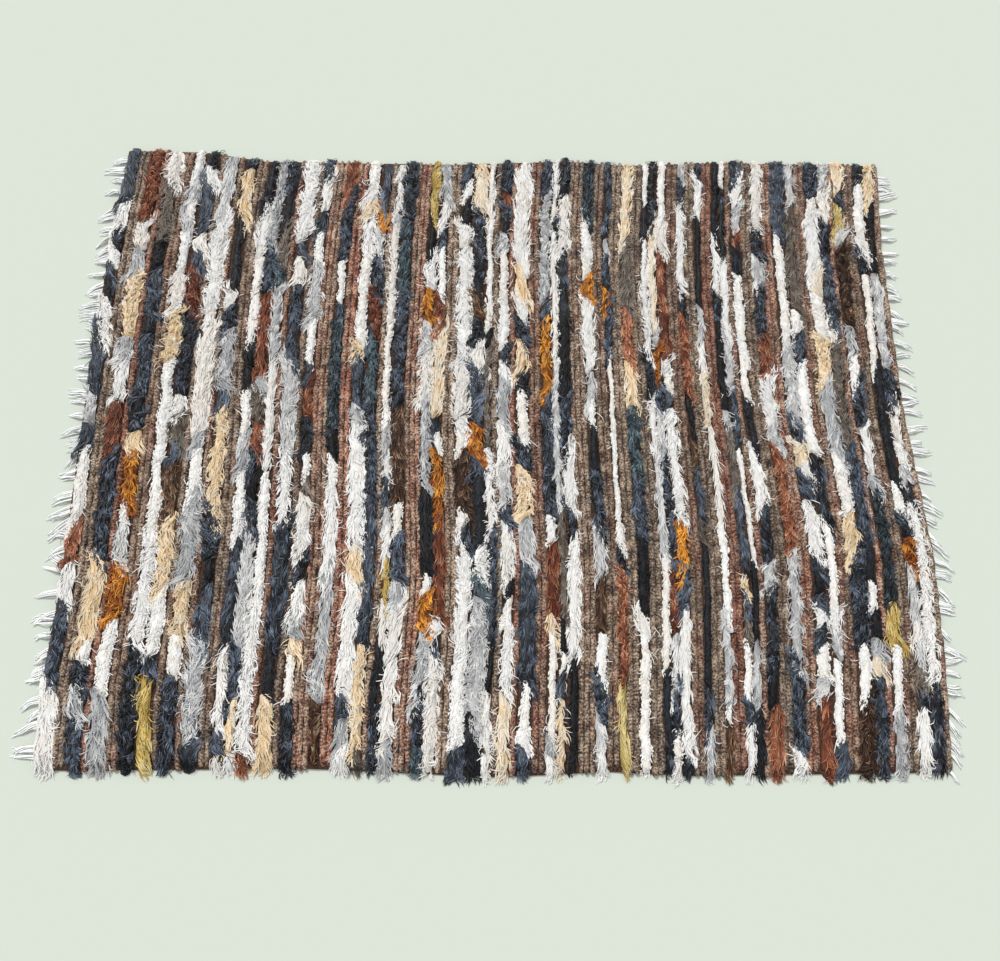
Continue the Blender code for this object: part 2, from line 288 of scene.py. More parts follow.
class Bundle:
    """Closed tubes and surfaces gathered into one mesh, with the numbers that their materials read."""

    def __init__(self, name):
        self.name = name
        self.points, self.values = [], []
        self.corners, self.sizes, self.slots = [], [], []
        self.count = 0

    def add_points(self, points, along, tone, shade=0.5, fibre=0.0):
        """Adds an array of points with what the materials read of them.

        along is the place along a lock, tone a number of its own, shade the place between the dye's two
        shades (all 0 to 1), and fibre metres across and along the fibres and a number of the lock's own.
        """
        shape = points.shape[:-1]
        self.points.append(points.reshape(-1, 3))
        numbers = [np.broadcast_to(value, shape).reshape(-1, 1) for value in (along, tone, shade)]
        self.values.append(np.hstack([*numbers, np.broadcast_to(fibre, shape + (3,)).reshape(-1, 3)]))
        self.count += self.points[-1].shape[0]

    def add_faces(self, faces, slot=0):
        """Adds faces, whose corners are on the array's last axis, in one material slot or in a slot each."""
        flat = faces.reshape(-1, faces.shape[-1])
        self.corners.append(flat.reshape(-1))
        self.sizes.append(np.full(len(flat), faces.shape[-1]))
        self.slots.append(np.broadcast_to(slot, len(flat)))

    def add_tubes(self, rings, along, tone, slot=0, ends=None, shade=0.5, fibre=0.0, end_fibre=0.0):
        """Adds closed tubes, whose faces join neighbouring sides of neighbouring rings.

        rings is (tube, ring, side, xyz). ends, (tube, 2, xyz), are the points that a tube narrows to; without
        them it has flat caps. along, tone and shade are (tube, ring), with a column more before and after the
        others for the ends.
        """
        tubes, length, sides, _ = rings.shape
        start = self.count + np.arange(tubes)[:, None, None] * (length * sides)
        here = start + np.arange(length)[None, :, None] * sides + np.arange(sides)
        after = np.roll(here, -1, axis=2)
        more = int(ends is not None)
        values = [np.broadcast_to(value, (tubes, length + 2 * more)) for value in (along, tone, shade)]
        self.add_points(rings, *(value[:, more:more + length, None] for value in values), fibre)
        self.add_faces(np.stack([here[:, :-1], here[:, 1:], after[:, 1:], after[:, :-1]], axis=-1), slot)
        if ends is None:
            self.add_faces(here[:, 0], slot)
            self.add_faces(here[:, -1, ::-1], slot)
            return
        points = np.broadcast_to(self.count + np.arange(2 * tubes).reshape(tubes, 2, 1), (tubes, 2, sides))
        self.add_points(ends, *(value[:, [0, -1]] for value in values), end_fibre)
        self.add_faces(np.stack([points[:, 0], here[:, 0], after[:, 0]], axis=-1), slot)
        self.add_faces(np.stack([here[:, -1], points[:, 1], after[:, -1]], axis=-1), slot)

    def finish(self, materials, crease=None):
        """The gathered mesh as a smooth object, with sharp edges where faces turn by more than the crease."""
        points = np.concatenate(self.points).astype(np.float32)
        corners, sizes = np.concatenate(self.corners), np.concatenate(self.sizes)
        mesh = bpy.data.meshes.new(self.name)
        mesh.vertices.add(len(points))
        mesh.vertices.foreach_set("co", points.ravel())
        mesh.loops.add(len(corners))
        mesh.loops.foreach_set("vertex_index", corners.astype(np.int32))
        mesh.polygons.add(len(sizes))
        mesh.polygons.foreach_set("loop_start", (np.cumsum(sizes) - sizes).astype(np.int32))
        for material in materials:
            mesh.materials.append(material)
        mesh.polygons.foreach_set("material_index", np.concatenate(self.slots).astype(np.int32))
        values = np.concatenate(self.values).astype(np.float32)
        for column, name in enumerate(POINT_NUMBERS):
            mesh.attributes.new(name, "FLOAT", "POINT").data.foreach_set("value", values[:, column].copy())
        fibre = mesh.attributes.new("fibre", "FLOAT_VECTOR", "POINT")
        fibre.data.foreach_set("vector", values[:, 3:].ravel())
        mesh.update(calc_edges=True)
        mesh.shade_smooth()
        if crease:
            mesh.set_sharp_from_angle(angle=np.radians(crease))
        piece = bpy.data.objects.new(self.name, mesh)
        bpy.context.scene.collection.objects.link(piece)
        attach(piece, "root")
        return piece


def sections(centre, side, half_width, half_height, angles):
    """Rings round a path: centre + half_width cos(angle) side + half_height sin(angle) up, at each angle."""
    across = half_width[..., None, None] * np.cos(angles)[:, None] * side[..., None, :]
    rise = half_height[..., None, None] * np.sin(angles)[:, None] * np.array([0.0, 0.0, 1.0])
    return centre[..., None, :] + across + rise


def side_of(path):
    """The level direction to the right of a path at each of its points."""
    ahead = np.gradient(path, axis=-2)
    side = np.stack([ahead[..., 1], -ahead[..., 0], np.zeros(ahead.shape[:-1])], axis=-1)
    return side / np.maximum(np.linalg.norm(side, axis=-1, keepdims=True), 1e-9)


# The ground cloth.

GROUND_COLUMNS = 4  # lines of points on each rib
GROUND_ROWS = 16
RIM_ROWS = (0.0, 0.0015, 0.004)  # of the way across, at both rims
GROUND_RELIEF = 3.0 * MM  # of the strips' skins
BACK_RELIEF = 1.6 * MM
EDGE_THICKNESS = 0.3  # of the full one


def ground_cloth(materials):
    """The cloth's face and back, of equal grids, and the walls that join them.

    The face's Z is the ground height, and under fur its relief |sin| over the rib more, all less towards the
    edges. The back's Z is its relief times (1 - |sin|)^2 over each cord, so that ribs are round below too.
    """
    shares, waves, fur = [], [], []
    for kind, low, high, cords in rib_table():
        t = np.arange(GROUND_COLUMNS) / GROUND_COLUMNS
        shares.append(low + (high - low) * t)
        waves.append(np.abs(np.sin(np.pi * (cords if kind == "chenille" else 1) * t)))
        fur.append(np.full(GROUND_COLUMNS, float(kind == "fur")))
    shares, waves, fur = (
        np.append(np.concatenate(rows), last) for rows, last in ((shares, 1.0), (waves, 0.0), (fur, 1.0))
    )
    ends = np.array(RIM_ROWS)
    rows = np.concatenate([ends, np.linspace(0, 1, GROUND_ROWS)[1:-1], 1 - ends[::-1]])[:, None]
    y = rim_y(shares, 0) * (1 - rows) + rim_y(shares, 1) * rows
    x = weave_x(shares[None, :], y)
    thick = EDGE_THICKNESS + (1 - EDGE_THICKNESS) * inside(shares[None, :], y)
    face = np.stack([x, y, (GROUND_HEIGHT + GROUND_RELIEF * waves * fur) * thick], axis=-1)
    back = np.stack([x, y, BACK_RELIEF * (1 - waves) ** 2 * thick], axis=-1)

    cloth = Bundle("ground_cloth")
    here = np.arange(x.size).reshape(x.shape)
    under = here + x.size
    # The face is all dark yarn, partly painted shade in the gaps between cords and strips.
    cloth.add_points(face, 0.0, 0.5)
    cloth.add_points(back, fur[None, :], 0.5)
    cloth.add_faces(np.stack([here[:-1, :-1], here[:-1, 1:], here[1:, 1:], here[1:, :-1]], axis=-1))
    cloth.add_faces(np.stack([under[:-1, :-1], under[1:, :-1], under[1:, 1:], under[:-1, 1:]], axis=-1))
    for line, flip in ((here[0], 1), (here[-1], -1), (here[:, 0], -1), (here[:, -1], 1)):
        wall = np.stack([line[:-1], line[:-1] + x.size, line[1:] + x.size, line[1:]], axis=-1)
        cloth.add_faces(wall[:, ::flip])
    return cloth.finish(materials)


# The chenille cords.

CORD_STEP = 11 * MM
CORD_ANGLES = np.radians((-20, 38, 90, 142, 200))
CORD_PLUMP = 1.30  # a cord's width, as a share of its place
CORD_SPREAD = 0.12  # how far cords part, of a cord's width
CORD_UNEVEN = 0.09
CORD_NEAR_END = (-3, 2)  # mm inside the near rim, after a rib's own
RIB_NEAR_END = (-3, 9)  # mm, the same for all cords of a rib
CORD_FAR_END = (-3, 4)  # mm past the far rim
CORD_BLUNT = (-6 * MM, 12 * MM)  # from a cord's end: where its width starts, and where it is full
CORD_CLIMB = (-8 * MM, 20 * MM)  # and its height
CORD_RISE = (4.6 * MM, 3.0 * MM)  # from the cord's middle to its crown: at the rims, and how much more inside
CORD_MIDDLE = (2.0 * MM, 3.5 * MM)  # the same, from the floor to its middle
CORD_STRAY = 1.0 * MM
RIB_TONE = (-0.4, 1.1)  # from taupe to russet, past both so that many ribs are pure
RIB_SHADE = (0.1, 0.9)


def chenille_cords(rng, materials):
    """Cords side by side in each chenille rib.

    Each is a half-round tube that strays from its line by a sum of sines. Its width and height are even but
    for small random swells, and fall towards both rims by smooth ramps.
    """
    cords = Bundle("chenille_cords")
    rings = int(WEAVE_WIDTH / CORD_STEP)
    for kind, low, high, number in rib_table():
        if kind != "chenille":
            continue
        rib_tone, rib_shade, rib_near = (rng.uniform(*span) for span in (RIB_TONE, RIB_SHADE, RIB_NEAR_END))
        for k in range(number):
            width = (high - low) / number
            share = low + width * (k + 0.5)
            near = rim_y(share, 0) + rib_near * MM + rng.uniform(*CORD_NEAR_END) * MM
            far = rim_y(share, 1) + rng.uniform(*CORD_FAR_END) * MM
            y = np.linspace(near, far, rings)
            end = np.minimum(y - near, far - y)
            thick = np.sqrt(ramp(end, *CORD_BLUNT))
            outward = width * WEAVE_LENGTH * CORD_SPREAD * (k - (number - 1) / 2)
            half = width * WEAVE_LENGTH / 2 * CORD_PLUMP * thick * (1 + rng.normal(0, CORD_UNEVEN, rings))
            level = ramp(end, *CORD_CLIMB)
            rise = (CORD_RISE[0] + CORD_RISE[1] * level) * (1 + rng.normal(0, CORD_UNEVEN, rings))
            x = weave_x(share, y) + outward + CORD_STRAY * wobble(rng, y, (0.11, 0.05))
            centre = np.stack([x, y, CORD_MIDDLE[0] + CORD_MIDDLE[1] * level], axis=-1)
            tube = sections(centre, side_of(centre), half, rise, CORD_ANGLES)
            tone = np.clip(rib_tone + rng.normal(0, 0.10) + 0.25 * wobble(rng, y, (0.37, 0.16)), 0, 1)
            fibre = np.stack(np.broadcast_arrays(np.cos(CORD_ANGLES), y[:, None], rng.uniform(0, 9)), axis=-1)
            shade = np.clip(rib_shade + 0.22 * wobble(rng, y, (0.23, 0.07)), 0, 1)
            cords.add_tubes(tube[None], 0.5, tone[None], shade=shade[None], fibre=fibre[None])
    return cords.finish(materials)


# The fur strips.

CORE_STEP = 11 * MM
CORE_STEP_LONG = 26 * MM
CORE_ANGLES = np.radians((-14, 38, 90, 142, 194))
CORE_SINK = 5.5 * MM  # height of the core's base
CORE_HEIGHTS = {
    "clipped": 12 * MM, "combed": 10 * MM, "tousled": 9.5 * MM, "curly": 9.5 * MM, "twisted": 10 * MM
}
CORE_UNDER = 0.97  # of that height, under long wool
CORE_END = 0.30  # width at a strip's end, of the full one
# Waves of a strip's width, of its height, of its line and of its shade. columns: size, wavelength
WIDTH_WAVES = ((0.6, 0.137), (0.4, 0.043))
HEIGHT_WAVES = ((0.6, 0.058), (0.4, 0.027))
LINE_WAVES = ((1.5 * MM, 0.37), (1.3 * MM, 2 * np.pi / 60))
SHADE_WAVES = ((0.24, 0.083), (0.24, 0.034))
LENGTH_RANGE = (0.035, 0.29)
REST = 0.05  # a rest of a rib that is shorter joins its last length
ACCENT_DRAW = 0.04  # an accent starts at once from this far before its place
PALE_DYES = ("undyed", "silver", "cream")
SAME_TONE = 0.5  # chance of a pale dye beside a pale one, or of a dark one beside a dark one
SAME_DYE = 0.2  # chance of a dye that lies beside it or came before; its root for the commonest
SPLICE = (8 * MM, 75 * MM)  # two lengths lie side by side, most often for little
SPLICE_MOST = 0.7  # of the shorter one
SPLICE_SHIFT = 0.42  # of the width
RIM_TAPER = 6 * MM
RIM_PAST = (-3 * MM, 12 * MM)
REACH_PAST = (20 * MM, 8 * MM)  # of the locks, at the near and the far rim


class Length:
    """One length of a fur strip, of one dye and style, and its shape at any place along it."""

    def __init__(self, rng, low, high, near, far, dye, style, shifts, tapers):
        self.near, self.far, self.dye, self.style = near, far, dye, style
        self.share = (low + high) / 2
        self.width = (high - low) * WEAVE_LENGTH * rng.uniform(*STYLES[style].fill)
        self.shifts = np.array(shifts) * self.width
        self.tapers = tapers
        self.phases = rng.uniform(0, 2 * np.pi, 6)
        self.height = CORE_HEIGHTS[style] * rng.uniform(0.9, 1.12)
        self.sweep = -1 if rng.uniform() < 0.9 - 0.3 * (near + far > 0) else 1
        self.tone = rng.normal(0.5, 0.10)
        self.shades = np.clip(rng.uniform(-0.4, 1.0) + rng.normal(0, 0.25, 2), 0, 1)

    def shape(self, y):
        """X of the middle, half width, height of the crown above its base, and height of the base, at y.

        Towards an end the width falls evenly over the taper and the middle moves aside, so that the next
        length fits beside it; sums of sines make width, height and line uneven; the last 4 mm are rounded.
        """
        uneven = sines(y, WIDTH_WAVES, self.phases[:2])
        lumps = sines(y, HEIGHT_WAVES, self.phases[2:4])
        ends = (y - self.near, self.far - y)
        tapers = [np.clip(end / taper, 0, 1) for end, taper in zip(ends, self.tapers)]
        taper = np.minimum(*tapers)
        blunt = np.sqrt(np.clip(np.minimum(*ends) / (4 * MM), 0.02, 1))
        half = 0.5 * self.width * (CORE_END + (1 - CORE_END) * taper) * blunt * (1 + 0.21 * uneven)
        level = inside(self.share, y)
        height = self.height * (0.5 + 0.5 * taper) * blunt * (1 + 0.14 * lumps) * (0.45 + 0.55 * level)
        x = weave_x(self.share, y) + sines(y, LINE_WAVES, self.phases[4:])
        x = x + self.shifts[0] * (1 - tapers[0]) + self.shifts[1] * (1 - tapers[1])
        return x, half, height, CORE_SINK * (0.2 + 0.8 * level)

    def shade(self, y):
        """The place between the dye's two shades: even from end to end, with two sines in it."""
        t = (y - self.near) / (self.far - self.near)
        patches = sines(y, SHADE_WAVES, self.phases[2:5:2])
        return np.clip(self.shades[0] * (1 - t) + self.shades[1] * t + patches, 0, 1)


def draw_dye(rng, near_by, last):
    """A random dye by its share, less often one that came before or lies beside, or one of its tone."""
    names = np.array(list(DYES))
    shares = np.array([row[6] for row in DYES.values()])
    again = np.where(np.isin(names, near_by) | (names == last), SAME_DYE, 1)
    chances = shares * again ** np.where(shares == shares.max(), 0.5, 1)
    pale = np.isin(names, PALE_DYES)
    for tone in set(np.isin(near_by, PALE_DYES).tolist()):
        chances = chances * np.where(pale == tone, SAME_TONE, 1)
    return rng.choice(names, p=chances / chances.sum())


def strip_lengths(rng):
    """Cuts every fur rib into lengths: the accents, and between them random lengths of random dyes."""
    lengths, beside = [], []
    for rib, (kind, low, high, _) in enumerate(rib_table()):
        if kind != "fur":
            continue
        share = (low + high) / 2
        near = rim_y(share, 0) - rng.uniform(*RIM_PAST)
        far = rim_y(share, 1) + rng.uniform(*RIM_PAST)
        own = [row for row in ACCENTS if row[0] == rib]
        places = []
        last = None
        y = near
        while y < far - 0.02:
            coming = min((row for row in own if row[2] > y), key=lambda row: row[1], default=None)
            if coming and coming[1] <= y + ACCENT_DRAW:
                stop, dye, style = min(coming[2], far), coming[3], coming[4]
                own.remove(coming)
            else:
                drawn = LENGTH_RANGE[0] + np.ptp(LENGTH_RANGE) * rng.uniform() ** 2
                stop = min(y + drawn, far if coming is None else coming[1])
                if far - stop < REST:
                    stop = far
                dye = draw_dye(rng, [dye for start, end, dye, _ in beside if start < stop and end > y], last)
                weights = np.array(list(DYES[dye][7].values()), float)
                style = rng.choice(list(DYES[dye][7]), p=weights / weights.sum())
            places.append((y, stop, dye, style))
            last, y = dye, stop
        beside = places
        splices = SPLICE[0] + np.ptp(SPLICE) * rng.uniform(0, 1, len(places) + 1) ** 2.5
        moves = rng.choice((-SPLICE_SHIFT, SPLICE_SHIFT), len(places) + 1)
        spans = np.array([stop - start for start, stop, _, _ in places])
        splices[1:-1] = np.minimum(splices[1:-1], SPLICE_MOST * np.minimum(spans[1:], spans[:-1]))
        splices[[0, -1]], moves[[0, -1]] = 0, 0
        for k, (start, stop, dye, style) in enumerate(places):
            ends = start - splices[k] / 2, stop + splices[k + 1] / 2
            tapers = [max(splices[j], RIM_TAPER) for j in (k, k + 1)]
            lengths.append(Length(rng, low, high, *ends, dye, style, (moves[k], -moves[k + 1]), tapers))
    return lengths


def fur_cores(rng, lengths, materials):
    """The skins and underfur: a domed tube along each length, with random swells, larger on clipped ones."""
    cores = Bundle("fur_cores")
    slots = {name: k for k, name in enumerate(DYES)}
    for length in lengths:
        clipped = length.style == "clipped"
        step = CORE_STEP if clipped else CORE_STEP_LONG
        rings = max(4, int((length.far - length.near) / step))
        ends = np.array([0, 1.5 * MM])
        inner = np.linspace(length.near + 4 * MM, length.far - 4 * MM, rings)
        y = np.concatenate([length.near + ends, inner, length.far - ends[::-1]])
        x, half, height, base = length.shape(y)
        centre = np.stack([x, y, base], axis=-1)
        tube = sections(centre, side_of(centre), half, height * (1 if clipped else CORE_UNDER), CORE_ANGLES)
        swell = 1 + rng.normal(0, 0.08 if clipped else 0.04, tube.shape[:2] + (1,))
        tube = centre[:, None] + (tube - centre[:, None]) * swell
        tube[..., 2] = np.maximum(tube[..., 2], 0.5 * MM)
        across = half[:, None] * CORE_ANGLES[None, :]
        fibre = np.stack(np.broadcast_arrays(across, y[:, None], rng.uniform(0, 9)), axis=-1)
        tone, shade = np.clip(length.tone, 0, 1), length.shade(y)[None]
        # Under long wool the core takes the darker colour near the skin end: painted shade under the locks.
        along = 0.5 if clipped else 0.25
        cores.add_tubes(tube[None], along, tone, slots[length.dye], shade=shade, fibre=fibre[None])
    return cores.finish(materials)


LOCK_RINGS = {True: ((0.30, 1.0), (0.66, 0.80)), False: ((0.42, 1.0),)}  # place along it, width
LOCK_ANGLES = np.radians((90, 210, 330))
LOCK_FLATNESS = 0.45
LOCK_CREASE = 100.0  # degrees: sharp edges between a lock's rounded upper side and its underside
LOCK_OVERLAP = 0.62  # of a lock's width, what counts towards the cover
LOCK_WIDTHS = (0.7, 1.25)  # of its style's
LOCK_REACHES = (0.85, 1.1)  # of its staple's
LOCK_ENDS = (0.4, 0.2)  # radius that keeps a lock's root and tip off the floor, of its full one
LOCK_CLEAR = (0.5 * MM, 1.2 * MM)  # height over what it lies on, of a lock and of a wisp
ROOT_SINK = 2 * MM
SCATTER = 0.618034  # of the way across, from one root to the next: the golden ratio leaves no rows
STAPLE_BLUR = (0.12, 0.10)  # how far roots stray into the next staple, across and along
HAND_WAVE = 0.23  # in which the wool changes from one side to the other and back
HAND_EDGE = 0.4  # power of that sine: the lower, the more sudden the change
STRAY_WAVES = ((1, 0.053), (1, 0.021))  # size, wavelength
STRAY = 0.6  # of the style's, by waves and by each staple's own number
ROOT_BACK = 0.35  # how far roots sit back from the sweep, of the half width
ROOT_INSIDE = 0.95  # the outermost roots, of the half width
STAPLE_REACH = 0.35  # how far staples differ in reach, of their style's range
SIDE_SLACK = (0.4, 1.6)  # of the reach past the strip's sides
RIM_SLACK = (0.3, 1.4)  # of the reach past the rug's rims
LIFTS = (0.6, 1.2)  # of the staple's
LIFT_RANGE = (0.2, 1.7)  # of the style's
# The third column is painted shade between tufts: locks at a staple's edge are darker.
LOCK_TONE_AND_EDGE_SHADE = (0.18, 0.10, -0.35)  # lighter or darker by its staple, by itself, and at a staple's edge
WISP_LOOSE = (0.35, 0.70)  # radians: random heading and turn of each wisp, besides its style's
WISP_PULL = (0.25, 0.45, 0.80)  # radians: heading outwards; heading and turn that a staple's wisps share
WISP_RANGE = (0.5, 1.6)  # of WISP_REACH
WISP_TONE = 0.2
FAMILIES = {
    "pale_locks": ("undyed", "cream"),
    "grey_locks": ("silver", "smoke"),
    "dark_locks": ("indigo", "black", "petrol"),
    "warm_locks": ("rust", "brick", "umber", "mustard"),
}


def surface_height(length, x, y):
    """Height of what a lock lies on: the core's dome under it, or else the cords beside it."""
    middle, half, height, base = length.shape(y)
    inner = np.clip(1 - ((x - middle) / half) ** 2, 0, 1)
    share = length.share + (x - middle) / WEAVE_LENGTH
    return np.maximum(base + height * np.sqrt(inner), (CHENILLE_HEIGHT - 1 * MM) * inside(share, y))


def held_back(value, limit, over):
    """A value that runs freely up to its limit, then bends off: limit + over tanh((value - limit) / over)."""
    return np.where(value > limit, limit + over * np.tanh((value - limit) / over), value)


def staple_grid(rng, length, root_y, across):
    """Each root's staple: its middle's Y and place across from -1 to 1, and six random numbers of its own.

    Staples are cells of a grid whose columns are shifted along the strip. Near a border a root may fall in
    either staple.
    """
    size, number = STYLES[length.style].staple, len(root_y)
    rows, columns = int((length.far - length.near) / size) + 3, max(1, round(length.width / size))
    column = (across + 1) / 2 * columns + rng.normal(0, STAPLE_BLUR[0], number)
    column = np.clip(column.astype(int), 0, columns - 1)
    shift = rng.uniform(0, 1, columns)[column]
    row = ((root_y - length.near) / size + shift + rng.normal(0, STAPLE_BLUR[1], number)).astype(int)
    row = np.clip(row, 0, rows - 1)
    heart_y = length.near + (row + 0.5 - shift) * size
    return heart_y, (2 * column + 1) / columns - 1, rng.normal(0, 1, (rows, columns, 6))[row, column].T


def strip_locks(rng, length, wisps):
    """The locks of one length, or its wisps: what add_tubes needs of them.

    They stand at even places along the strip and at a golden-ratio sequence of places across it, and gather
    in staples. A staple's heading at its root is a sum of sines along the strip, so that neighbours run
    together, and turns evenly as it runs on; its locks follow it and draw together by gather * t, wisps half
    as much. They are held back soon past the strip's sides, wisps later, and past the rug's rims. A lock
    rises lift * 4t(1 - t) over what it lies on, most in the middle of its staple.
    """
    style, variety = STYLES[length.style], FINISHES[length.dye][2]
    steps, widths = np.array(LOCK_RINGS[style.fine or wisps]).T
    t = np.concatenate([[0.0], steps, [1.0]])
    span = length.far - length.near
    number = style.cover * span * length.width / (np.mean(style.reach) * style.width * LOCK_OVERLAP)
    number = max(4, int(number * (WISP_SHARE[length.style == "clipped"] if wisps else 1)))

    root_y = length.near + span * (rng.permutation(number) + rng.uniform(0, 1, number)) / number
    across = 2 * ((np.arange(number) * SCATTER + rng.uniform(0, 0.2, number)) % 1) - 1
    half = length.shape(root_y)[1]
    heart_y, heart, numbers = staple_grid(rng, length, root_y, across)
    swerve, bend, longer, lighter, shaded, raised = numbers

    hand = np.sin(heart_y * 2 * np.pi / HAND_WAVE + length.phases[0])
    hand = np.sign(hand) * np.abs(hand) ** HAND_EDGE
    waves = sines(heart_y, STRAY_WAVES, (1.4 * heart + length.phases[1], length.phases[2]))
    heading = style.splay * heart + style.sweep * hand + style.stray * STRAY * (waves + swerve)
    turn = style.wild * bend - style.turn * hand * (1 + 0.25 * bend) - 0.4 * style.splay * heart
    heading = heading + (style.loose + WISP_LOOSE[0] * wisps) * rng.normal(0, 1, number)
    turn = turn + (2 * style.loose + WISP_LOOSE[1] * wisps) * rng.normal(0, 1, number)
    reach = np.mean(style.reach) + np.ptp(style.reach) * np.clip(STAPLE_REACH * longer, -0.5, 0.5)
    if wisps:
        heading, turn = heading + WISP_PULL[0] * across + WISP_PULL[1] * swerve, turn + WISP_PULL[2] * bend
        reach = WISP_REACH * np.clip(1 + 0.45 * raised, *WISP_RANGE)
    reach = reach * rng.uniform(*LOCK_REACHES, number)
    back = ROOT_BACK * style.sweep * hand
    heart_x, root_x = (np.clip(place - back, -1, 1) * half * ROOT_INSIDE for place in (heart, across))

    bearing = heading[:, None] + turn[:, None] * (t[1:] + t[:-1]) / 2
    legs = reach[:, None] * np.diff(t)
    start = np.zeros((number, 1))
    run_x, run_y = (np.cumsum(np.hstack([start, legs * part(bearing)]), axis=1) for part in (np.sin, np.cos))
    apart = 1 - style.gather * t * (0.5 if wisps else 1)
    offset = heart_x[:, None] + (root_x - heart_x)[:, None] * apart + run_x
    over = (WISP_OVER if wisps else style.over) * rng.uniform(*SIDE_SLACK, (number, 1))
    offset = np.sign(offset) * held_back(np.abs(offset), half[:, None], over)
    y = heart_y[:, None] + (root_y - heart_y)[:, None] * (0.5 + 0.5 * apart) + length.sweep * run_y
    slack = rng.uniform(*RIM_SLACK, (number, 1))
    y = -held_back(-y, -rim_y(length.share, 0), REACH_PAST[0] * slack)
    y = held_back(y, rim_y(length.share, 1), REACH_PAST[1] * slack)
    x = length.shape(np.clip(y, length.near, length.far))[0] + offset

    outer = ((root_x - heart_x) ** 2 + (root_y - heart_y) ** 2) / style.staple ** 2
    lift = style.lift * np.clip(1 + 0.3 * raised - 1.2 * outer, *LIFT_RANGE) * rng.uniform(*LIFTS, number)
    wide = (WISP_WIDTH if wisps else style.width) * rng.uniform(*LOCK_WIDTHS, (number, 1)) / 2
    radius = wide * np.concatenate([LOCK_ENDS[:1], widths, LOCK_ENDS[1:]])
    z = surface_height(length, x, y) + lift[:, None] * 4 * t * (1 - t) + LOCK_CLEAR[wisps]
    z = np.maximum(z - ROOT_SINK * (t == 0), 0.8 * radius)
    path = np.stack([x, y, z], axis=-1)
    rings = sections(path, side_of(path), radius * 1.15, radius * LOCK_FLATNESS, LOCK_ANGLES)[:, 1:-1]
    rings[..., 2] = np.maximum(rings[..., 2], 0)

    own = rng.uniform(0, 9, number)
    spread = wide[:, :, None] * np.array([0.0, -1.0, 1.0])
    lengthwise = (reach[:, None] * steps)[..., None]
    fibre = np.stack(np.broadcast_arrays(spread, lengthwise, own[:, None, None]), axis=-1)
    end_fibre = np.stack(np.broadcast_arrays(0.0, reach[:, None] * (0.0, 1.0), own[:, None]), axis=-1)
    tone = length.tone + LOCK_TONE_AND_EDGE_SHADE[0] * lighter + rng.normal(0, LOCK_TONE_AND_EDGE_SHADE[1], number)
    # Locks at a staple's edge are darker: painted shade between tufts.
    tone = tone + LOCK_TONE_AND_EDGE_SHADE[2] * outer + WISP_TONE * wisps
    shade = length.shade(root_y) + variety * (shaded + rng.normal(0, 0.35, number))
    tone, shade = (np.clip(value, 0, 1)[:, None] for value in (tone, shade))
    return dict(
        rings=rings, ends=path[:, [0, -1]], along=t[None], tone=tone, shade=shade,
        fibre=fibre, end_fibre=end_fibre
    )


def fur_locks(rng, lengths, materials):
    """The wool in four families of dyes, each in a left and a right piece."""
    slots = {name: k for k, name in enumerate(DYES)}
    names = [(family, side) for family in FAMILIES for side in ("left", "right")]
    bundles = {name: Bundle("_".join(name)) for name in names}
    for length in lengths:
        family = next(name for name, dyes in FAMILIES.items() if length.dye in dyes)
        bundle = bundles[family, "left" if length.share < 0.5 else "right"]
        for wisps in (False, True):
            bundle.add_tubes(slot=slots[length.dye], **strip_locks(rng, length, wisps))
    return [bundle.finish(materials, LOCK_CREASE) for bundle in bundles.values()]


# The warp fringe.

WARP_ENDS = 47
THREADS = 8  # in the bunch at each warp end
THREAD_RADIUS = 1.7 * MM
THREAD_TAPER = 0.65  # of the radius, lost at the tip
THREAD_RINGS = 7
THREAD_ANGLES = np.radians((45, 135, 225, 315))
FRINGE_LENGTH = (32 * MM, 54 * MM)
THREAD_LENGTH = (0.7, 1.02)  # of its bunch's
FRINGE_CORNER = 20 * MM  # bare, at each end
ROOT_IN = 6 * MM  # how far a thread starts inside the weave's edge
ROOT_STRAY = (6 * MM, 0.8 * MM)  # random places along the edge, of bunches and of threads
BUNCH_HALF = 9  # mm, from a bunch's middle to its outer threads
BUNCH_WIDTHS = (0.4, 1.1)  # of that
BUNCH_OPENING = (-0.9, 0.3)  # by the tips, of a bunch's width
FRINGE_LEAN = (-0.12, 0.30, 0.25)  # radians: everywhere; near the near corner; and more of it at the right
LEAN_FROM = (-0.30, 0.75)  # towards the near rim: where that starts, and where it is full
LEAN_WAVE = (0.22, 13)  # radians, and radians per metre
LEAN_STRAY = (0.22, 0.05)  # radians, of bunches and of threads
THREAD_BEND = (-2 * MM, 6 * MM, 1.8 * MM)  # at the tip: the same for all, random by bunch and by thread
THREAD_WAVE = (0.3, 3.0)  # mm at the tip
THREAD_TURN = 7  # radians of that wave along a thread
THREAD_DROP = 4.5 * MM  # from the heading to the floor
THREAD_ARCH = (0.5 * MM, 7 * MM)
HEADING_RADIUS = 2.2 * MM
HEADING_IN = 2.5 * MM
HEADING_PAST = 8 * MM  # how far it runs past the outer bunches
HEADING_ROWS = 260
HEADING_ANGLES = np.radians(np.arange(30, 390, 60))
KNOTS = 0.28  # swell of the heading at each warp end


